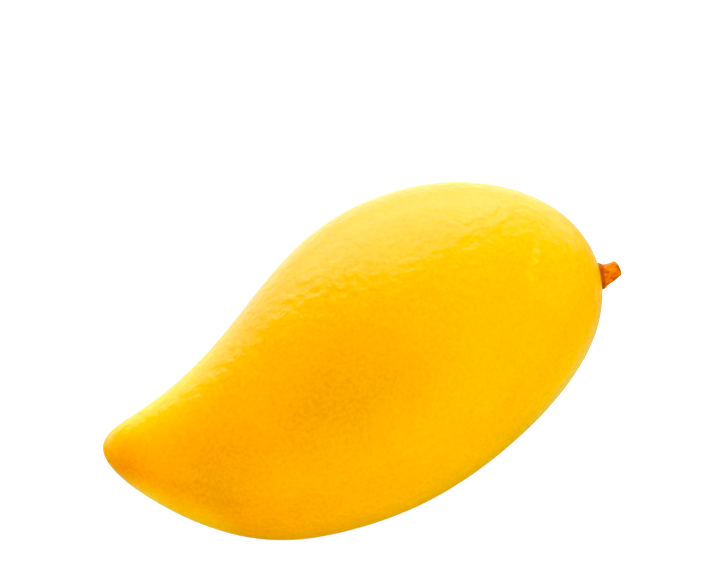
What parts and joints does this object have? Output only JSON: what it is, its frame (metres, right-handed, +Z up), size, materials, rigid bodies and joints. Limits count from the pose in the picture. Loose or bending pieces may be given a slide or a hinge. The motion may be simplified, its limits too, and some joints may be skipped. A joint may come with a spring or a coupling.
{
  "type": "mango",
  "caption": "Whole ripe yellow mango of a long, beaked kind, lying on its cheek, with the cut stub of its stem.",
  "frame": {"origin": "middle of the whole fruit's bounding box, on the surface that it lies on", "axes": "+X from the beak to the stem, +Y the side that the beak curves towards, +Z up from the cheek that it lies on"},
  "size_m": [0.1488, 0.0828, 0.0666],
  "materials": {
    "mango_skin": "smooth waxy skin, satin, with fine pores",
    "stem_wood": "dry orange-brown bark with a pale cut end"
  },
  "bodies": {
    "root": {"fruit": "mango_skin", "stem": "stem_wood"}
  },
  "joints": []
}
